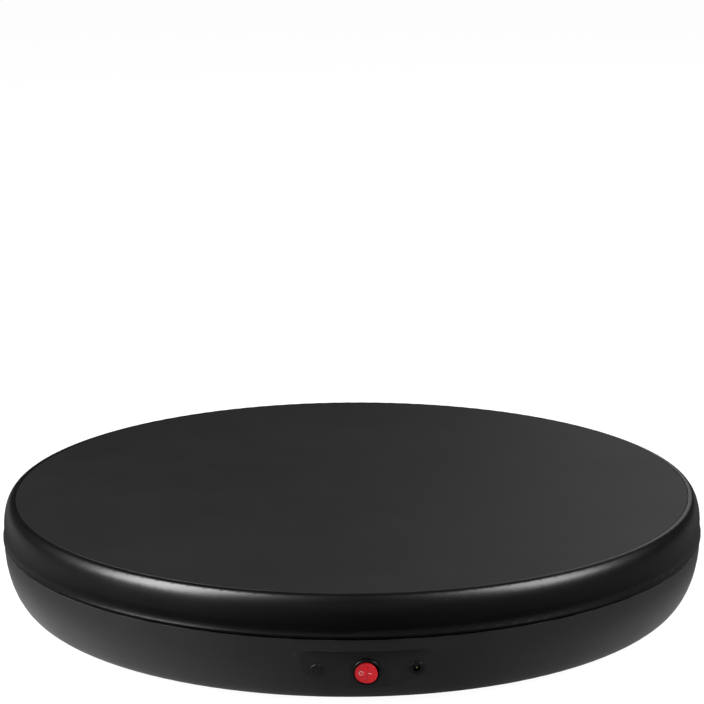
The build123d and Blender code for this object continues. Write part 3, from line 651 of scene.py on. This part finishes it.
def new_piece(name: str, mesh: bmesh.types.BMesh, smooth_angle: float = 40.0) -> bpy.types.Object:
    """Turn a bmesh into a shaded object in the scene.

    Args:
        name: the piece's name.
        mesh: its geometry, freed here.
        smooth_angle: edges sharper than this many degrees stay crisp.

    Returns:
        The new object.
    """
    bmesh.ops.recalc_face_normals(mesh, faces=mesh.faces)
    limit = math.radians(smooth_angle)
    for face in mesh.faces:
        face.smooth = True
    for edge in mesh.edges:
        edge.smooth = len(edge.link_faces) == 2 and edge.calc_face_angle(0.0) < limit
    data = bpy.data.meshes.new(name)
    mesh.to_mesh(data)
    mesh.free()
    piece = bpy.data.objects.new(name, data)
    bpy.context.scene.collection.objects.link(piece)
    return piece


def circle(radius: float, steps: int) -> list[tuple[float, float]]:
    """Give evenly spaced points of a circle, or its middle alone when the radius is 0.

    Args:
        radius: of the circle.
        steps: how many points.

    Returns:
        The points' x and y.
    """
    if not radius:
        return [(0.0, 0.0)]
    turns = (2 * math.pi * step / steps for step in range(steps))
    return [(radius * math.cos(turn), radius * math.sin(turn)) for turn in turns]


def bridge(mesh: bmesh.types.BMesh, first: Ring, second: Ring) -> None:
    """Join two rings with faces; a ring of one point makes a fan.

    Args:
        mesh: where the faces go.
        first: points of one ring, in order.
        second: points of the other, in the same order.
    """
    steps = max(len(first), len(second))
    for step in range(steps):
        after = (step + 1) % steps
        corners = (
            first[step % len(first)],
            first[after % len(first)],
            second[after % len(second)],
            second[step % len(second)],
        )
        mesh.faces.new(list(dict.fromkeys(corners)))


def lathe(
    mesh: bmesh.types.BMesh, outline: list[tuple[float, float]], steps: int, place: Matrix
) -> None:
    """Spin an outline about the Z axis of a place.

    Args:
        mesh: where the faces go.
        outline: (radius, height) points in order; the first and the last are on the axis.
        steps: faces round the turn.
        place: the frame whose Z is the axis.
    """
    rings = [
        [mesh.verts.new(place @ Vector((x, y, height))) for x, y in circle(radius, steps)]
        for radius, height in outline
    ]
    for first, second in zip(rings, rings[1:]):
        bridge(mesh, first, second)


@dataclass
class SwitchRocker:
    """Round red rocker with its two marks, tipped about the panel's up axis.

    Attributes:
        radius: of the cap.
        tilt: degrees of each half against level.
        pivot_depth: the pins' depth behind the panel's face.
        crown: height of the cap's middle over the panel's face.
        crease: how widely the fold between the two halves is rounded.
        edge_thickness: of the cap's edge.
        edge_round: radius of the cap's top edge.
        foot_reach: how far the cap's underside stands out from the drum.
        foot_drop: how far the underside lies below the face.
        drum_radius: of the drum under the cap.
        drum_width: length of the drum.
        pin_radius: of the pivot pins.
        pin_reach: from the middle to a pin's end.
        end_bevel: at the ends of the drum and the pins.
        mark_height: how far the printed marks stand up.
        mark_sink: how far they reach into the cap.
        ring_offset: from the middle to the ring mark.
        ring_radius: outer radius of the ring mark.
        bar_offset: from the middle to the bar mark.
        bar_length: length of the bar mark.
        stroke: width of the marks.
        cap_steps: faces round the cap.
        face_steps: rings from the cap's middle to its rounded edge.
        edge_steps: rings over the rounded edge.
        drum_steps: faces round the drum and the pins.
        ring_steps: faces round the ring mark.
    """

    radius: float = 8.9 * MM
    tilt: float = 8.0
    pivot_depth: float = 1.5 * MM
    crown: float = 2.0 * MM
    crease: float = 2.0 * MM
    edge_thickness: float = 1.2 * MM
    edge_round: float = 0.5 * MM
    foot_reach: float = 0.6 * MM
    foot_drop: float = 2.3 * MM
    drum_radius: float = 4.0 * MM
    drum_width: float = 11.0 * MM
    pin_radius: float = 1.0 * MM
    pin_reach: float = 9.7 * MM
    end_bevel: float = 0.2 * MM
    mark_height: float = 0.06 * MM
    mark_sink: float = 0.01 * MM
    ring_offset: float = 3.8 * MM
    ring_radius: float = 1.9 * MM
    bar_offset: float = 2.5 * MM
    bar_length: float = 3.8 * MM
    stroke: float = 0.62 * MM
    cap_steps: int = 96
    face_steps: int = 18
    edge_steps: int = 5
    drum_steps: int = 32
    ring_steps: int = 40

    def place(self) -> Matrix:
        """Find the rocker's frame at the panel's face.

        Returns:
            The frame: X sideways, Y up the panel, Z out of it.
        """
        joint = next(j for j in frame["joints"] if j["name"] == "switch_rocker_tilt")
        up = Vector(joint["axis"]).normalized()
        side = Vector((1.0, 0.0, 0.0))
        level = Matrix((side, up, side.cross(up))).transposed().to_4x4()
        turned = Matrix.Rotation(math.radians(-self.tilt), 4, "Y")
        forward = Matrix.Translation((0.0, 0.0, self.pivot_depth))
        return Matrix.Translation(Vector(joint["pos_m"])) @ level @ turned @ forward

    def on_face(self, place: Matrix, x: float, y: float, lift: float) -> Vector:
        """Find a point on or off the dished face, which is rounded along its crease.

        Args:
            place: the rocker's frame.
            x: distance sideways from the middle.
            y: distance up from the middle.
            lift: height over the face.

        Returns:
            The point.
        """
        slope = math.tan(math.radians(self.tilt))
        face = self.crown + slope * (math.hypot(x, self.crease) - self.crease)
        return place @ Vector((x, y, face + lift))

    def cap(self, mesh: bmesh.types.BMesh, place: Matrix) -> None:
        """Build the dished cap with a rounded edge.

        Args:
            mesh: where the faces go.
            place: the rocker's frame.
        """
        flat = self.radius - self.edge_round
        stations = [(flat * i / self.face_steps, 0.0) for i in range(self.face_steps + 1)]
        for i in range(1, self.edge_steps + 1):
            turn = math.pi / 2 * i / self.edge_steps
            inset = self.edge_round * (1 - math.cos(turn))
            stations.append((flat + self.edge_round * math.sin(turn), inset))
        stations.append((self.radius, self.edge_thickness))
        stations.append((self.drum_radius + self.foot_reach, self.foot_drop))
        rings = [
            [
                mesh.verts.new(self.on_face(place, x, y, -drop))
                for x, y in circle(radius, self.cap_steps)
            ]
            for radius, drop in stations
        ]
        for inner, outer in zip(rings, rings[1:]):
            bridge(mesh, inner, outer)
        mesh.faces.new(list(reversed(rings[-1])))

    def build(self) -> bpy.types.Object:
        """Build the cap, drum and pins as one moulding.

        Returns:
            The moulding.
        """
        mesh = bmesh.new()
        place = self.place()
        self.cap(mesh, place)
        sunk = Matrix.Translation((0.0, 0.0, -self.pivot_depth))
        lying = place @ sunk @ Matrix.Rotation(math.pi / 2, 4, "X")
        drum, pins = (self.drum_radius, self.drum_width / 2), (self.pin_radius, self.pin_reach)
        for radius, half in (drum, pins):
            rim, shoulder = radius - self.end_bevel, half - self.end_bevel
            outline = [
                (0.0, -half), (rim, -half), (radius, -shoulder),
                (radius, shoulder), (rim, half), (0.0, half),
            ]
            lathe(mesh, outline, self.drum_steps, lying)
        return new_piece("switch_rocker_cap", mesh, smooth_angle=50.0)

    def ring_mark(self, mesh: bmesh.types.BMesh, place: Matrix) -> None:
        """Build the ring mark.

        Args:
            mesh: where the faces go.
            place: the rocker's frame.
        """
        inner, outer = self.ring_radius - self.stroke, self.ring_radius
        back, front = -self.mark_sink, self.mark_height - self.mark_sink
        loops = [
            [
                mesh.verts.new(self.on_face(place, x - self.ring_offset, y, lift))
                for x, y in circle(radius, self.ring_steps)
            ]
            for radius, lift in ((inner, back), (inner, front), (outer, front), (outer, back))
        ]
        for first, second in zip(loops, loops[1:] + loops[:1]):
            bridge(mesh, first, second)

    def bar_mark(self, mesh: bmesh.types.BMesh, place: Matrix) -> None:
        """Build the bar mark.

        Args:
            mesh: where the faces go.
            place: the rocker's frame.
        """
        half, side = self.bar_length / 2, self.stroke / 2
        corners = ((-half, -side), (half, -side), (half, side), (-half, side))
        low, high = (
            [mesh.verts.new(self.on_face(place, self.bar_offset + x, y, lift)) for x, y in corners]
            for lift in (-self.mark_sink, self.mark_height)
        )
        mesh.faces.new(high)
        mesh.faces.new(list(reversed(low)))
        bridge(mesh, low, high)

    def marks(self) -> bpy.types.Object:
        """Build the marks as thin raised print that follows the dished face.

        Returns:
            The ring and the bar as one piece.
        """
        mesh = bmesh.new()
        place = self.place()
        self.ring_mark(mesh, place)
        self.bar_mark(mesh, place)
        return new_piece("switch_rocker_marks", mesh, smooth_angle=30.0)

    def make(self, shelf: FinishShelf) -> None:
        """Build and dress the rocker and its marks.

        Args:
            shelf: the finishes.
        """
        cap = self.build()
        shelf.dress(cap, "switch_red")
        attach(cap, "switch_rocker")
        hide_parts("switch_rocker")
        marks = self.marks()
        marks.data.materials.append(PrintFinish().material("switch_print", shelf.effects))
        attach(marks, "switch_rocker")
        log.info("switch rocker: cap %.1f mm across, ring and bar marks", 2 * self.radius / MM)


class CadDress:
    """Gives every carried-over CAD node the finish of its material slot."""

    def __init__(self, shelf: FinishShelf) -> None:
        """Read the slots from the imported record.

        Args:
            shelf: the finishes.
        """
        self.shelf = shelf
        self.slots = {part["node"]: part["material_slot"] for part in frame["record"]["subparts"]}

    def make(self) -> None:
        """Dress each node and report it."""
        for name, piece in sorted(frame["nodes"].items()):
            self.shelf.dress(piece, self.slots[name])
            log.info("%s: %s", name, self.slots[name])


@dataclass(frozen=True)
class Softbox:
    """One square or oblong studio light.

    Attributes:
        name: the light's name.
        place: its middle, in metres.
        size: width and height, in metres.
        brightness: emitted power per square metre of its face, in watts.
        aim: the point it faces.
    """

    name: str
    place: Point
    size: tuple[float, float]
    brightness: float
    aim: Point = (0.0, 0.0, 0.06)

    def make(self) -> None:
        """Add the light to the scene."""
        data = bpy.data.lights.new(self.name, "AREA")
        data.shape = "RECTANGLE"
        data.size, data.size_y = self.size
        data.energy = self.brightness * self.size[0] * self.size[1]
        light = bpy.data.objects.new(self.name, data)
        light.location = self.place
        facing = Vector(self.aim) - Vector(self.place)
        light.rotation_euler = facing.to_track_quat("-Z", "Y").to_euler()
        bpy.context.scene.collection.objects.link(light)
        log.info("light %s: %.1f W", self.name, data.energy)


@dataclass(frozen=True)
class Floor:
    """Near-white floor that throws a dimmer light back than it shows, clear from below.

    Each ramp is a range of metres and the brightness at its two ends, which glossy faces see.

    Attributes:
        reach: half the floor's width.
        drop: how far it lies under the feet, so that their faces don't share a plane.
        tones: greys that its cloudy colour wanders between.
        cloud_scale: clouds per metre.
        roughness: of its surface.
        shown_glow: its own brightness as the camera sees it.
        thrown_tone: share of the light that it sends back to matte faces.
        thrown_glow: its own brightness as they see it.
        mirrored_tone: share of the light that it sends back to glossy faces.
        left: ramp along X, past the stand's left side.
        right: ramp along X, past the stand's right side.
        near: share of the next two that is left at a distance from the middle.
        near_left: ramp along X, close to the stand on the left.
        near_right: ramp along X, close to the stand on the right.
    """

    reach: float = 14.0
    drop: float = 0.2 * MM
    tones: Range = (0.10, 0.11)
    cloud_scale: float = 0.8
    roughness: float = 0.9
    shown_glow: float = 0.97
    thrown_tone: float = 0.3
    thrown_glow: float = 0.6
    mirrored_tone: float = 0.005
    left: tuple[Range, Range] = ((-0.36, -0.54), (0.01, 0.33))
    right: tuple[Range, Range] = ((0.3, 0.55), (0.01, 0.2))
    near: tuple[Range, Range] = ((0.31, 0.39), (1.0, 0.0))
    near_left: tuple[Range, Range] = ((-0.03, -0.27), (0.24, 1.1))
    near_right: tuple[Range, Range] = ((0.08, 0.30), (0.24, 0.9))

    def glowing(self, sheet: NodeSheet, color: object, glow: object) -> bpy.types.NodeSocket:
        """Add a dull surface with a brightness of its own.

        Args:
            sheet: the floor material's node sheet.
            color: its colour's socket, or a grey from 0 to 1.
            glow: its own brightness, a value or a socket.

        Returns:
            The shader socket.
        """
        if isinstance(color, float):
            color = (color, color, color, 1.0)
        inputs = {
            "Base Color": color,
            "Roughness": self.roughness,
            "Specular IOR Level": 0.0,
            "Emission Color": WHITE,
            "Emission Strength": glow,
        }
        return sheet.add("BsdfPrincipled", inputs).outputs[0]

    def mirrored_glow(self, sheet: NodeSheet, place: object) -> bpy.types.NodeSocket:
        """Add the brightness that glossy faces see, place by place.

        Args:
            sheet: the floor material's node sheet.
            place: socket of the shaded point.

        Returns:
            The brightness socket.
        """
        along = sheet.add("SeparateXYZ", {0: place}).outputs["X"]
        reach = sheet.add("VectorMath", {0: place}, operation="LENGTH").outputs["Value"]
        left, right, near_left, near_right = (
            sheet.remap(along, *ramp)
            for ramp in (self.left, self.right, self.near_left, self.near_right)
        )
        beside = sheet.math("MAXIMUM", near_left, near_right)
        near = sheet.math("MULTIPLY", sheet.remap(reach, *self.near), beside)
        return sheet.math("MAXIMUM", sheet.math("MAXIMUM", left, right), near)

    def material(self) -> bpy.types.Material:
        """Build the floor's material.

        Returns:
            The material.
        """
        made = bpy.data.materials.new("studio_floor")
        made.use_nodes = True
        sheet = NodeSheet(made.node_tree)
        place = sheet.surface_point()
        darker, lighter = ((tone, tone, tone) for tone in self.tones)
        cloudy = sheet.mix_color(sheet.noise(place, self.cloud_scale, 2.0), darker, lighter)
        shown = self.glowing(sheet, cloudy, self.shown_glow)
        thrown = self.glowing(sheet, self.thrown_tone, self.thrown_glow)
        mirrored = self.glowing(sheet, self.mirrored_tone, self.mirrored_glow(sheet, place))
        clear = sheet.add("BsdfTransparent").outputs[0]
        ray = sheet.add("LightPath").outputs
        unseen = sheet.mix_shader(ray["Is Glossy Ray"], thrown, mirrored)
        seen = sheet.mix_shader(sheet.add("NewGeometry").outputs["Backfacing"], shown, clear)
        both = sheet.mix_shader(ray["Is Camera Ray"], unseen, seen)
        sheet.add("OutputMaterial", {"Surface": both})
        return made

    def make(self) -> None:
        """Lay the floor at the feet's level, its face up."""
        mesh = bmesh.new()
        bmesh.ops.create_grid(mesh, x_segments=8, y_segments=8, size=self.reach)
        low = CAD_BOUNDS[0][2] - self.drop
        for vert in mesh.verts:
            vert.co.z = low
        piece = new_piece("studio_floor", mesh)
        if piece.data.polygons[0].normal.z < 0:
            piece.data.flip_normals()
        piece.data.materials.append(self.material())


@dataclass(frozen=True)
class Studio:
    """Pale floor, soft lights and the camera.

    Attributes:
        floor: the floor.
        lights: the soft lights.
        surroundings_glow: brightness of the surroundings.
        backdrop_glow: their brightness as the camera sees them.
        aim_height: height of the point on the spin axis that the camera's place is set out from.
        distance: camera to that point.
        elevation: degrees of the camera above that point's level.
        azimuth: degrees round from -Y; a minus sign puts the camera to the left.
        tilt_up: degrees that the view is raised off that point.
        roll: degrees that the camera is turned about its view.
        turn_right: degrees that the view is turned off that point.
        focal_length: in millimetres.
        sensor_width: in millimetres.
        sight: how far the camera sees, in metres.
    """

    floor: Floor = Floor()
    lights: tuple[Softbox, ...] = (
        Softbox("softbox_left", (-1.35, -0.53, 1.20), (1.0, 1.25), 84.0),
        Softbox("softbox_right", (1.30, -0.56, 1.26), (0.85, 1.15), 57.0),
        Softbox("panel_back_right", (1.05, 3.1, 1.35), (1.0, 1.1), 3.7),
        Softbox("fill_front", (0.0, -3.0, 1.0), (2.5, 1.0), 0.8),
    )
    surroundings_glow: float = 0.035
    backdrop_glow: float = 0.97
    aim_height: float = 0.045
    distance: float = 2.4
    elevation: float = 17.385
    azimuth: float = -2.1
    tilt_up: float = 3.876
    roll: float = -0.298
    turn_right: float = 0.02
    focal_length: float = 141.1
    sensor_width: float = 36.0
    sight: float = 100.0

    def world(self) -> None:
        """Add dim even surroundings, which the camera sees as pale as the floor."""
        world = bpy.data.worlds.new("studio")
        world.use_nodes = True
        sheet = NodeSheet(world.node_tree)
        seen = sheet.add("LightPath").outputs["Is Camera Ray"]
        strength = sheet.remap(seen, target=(self.surroundings_glow, self.backdrop_glow))
        shade = sheet.add("Background", {"Color": WHITE, "Strength": strength})
        sheet.add("OutputWorld", {"Surface": shade.outputs[0]})
        bpy.context.scene.world = world

    def camera(self) -> None:
        """Set the camera at its viewing angle."""
        sky = Vector((0.0, 0.0, 1.0))
        rise, turn = math.radians(self.elevation), math.radians(self.azimuth)
        level = Vector((math.sin(turn), -math.cos(turn), 0.0))
        away = level * math.cos(rise) + sky * math.sin(rise)
        right = (-away).cross(sky).normalized()
        lift = math.radians(self.tilt_up)
        view = right.cross(-away) * math.sin(lift) - away * math.cos(lift)
        view = (view + right * math.tan(math.radians(self.turn_right))).normalized()
        right = view.cross(sky).normalized()
        top = right.cross(view)
        spin = math.radians(self.roll)
        side = right * math.cos(spin) + top * math.sin(spin)
        crown = top * math.cos(spin) - right * math.sin(spin)
        data = bpy.data.cameras.new("camera")
        data.sensor_width = self.sensor_width
        data.lens = self.focal_length
        data.clip_end = self.sight
        piece = bpy.data.objects.new("camera", data)
        place = sky * self.aim_height + away * self.distance
        turned = Matrix((side, crown, -view)).transposed().to_4x4()
        piece.matrix_world = Matrix.Translation(place) @ turned
        bpy.context.scene.collection.objects.link(piece)
        bpy.context.scene.camera = piece

    def make(self) -> None:
        """Set up the whole studio."""
        self.floor.make()
        self.world()
        self.camera()
        for light in self.lights:
            light.make()
        bpy.context.scene.view_settings.view_transform = "Standard"


def main() -> None:
    """Build the looks in order."""
    logging.basicConfig(level=logging.INFO, format="%(message)s")
    shelf = FinishShelf(EffectLibrary())
    CadDress(shelf).make()
    SwitchRocker().make(shelf)
    Studio().make()


if __name__ == "__main__":
    main()
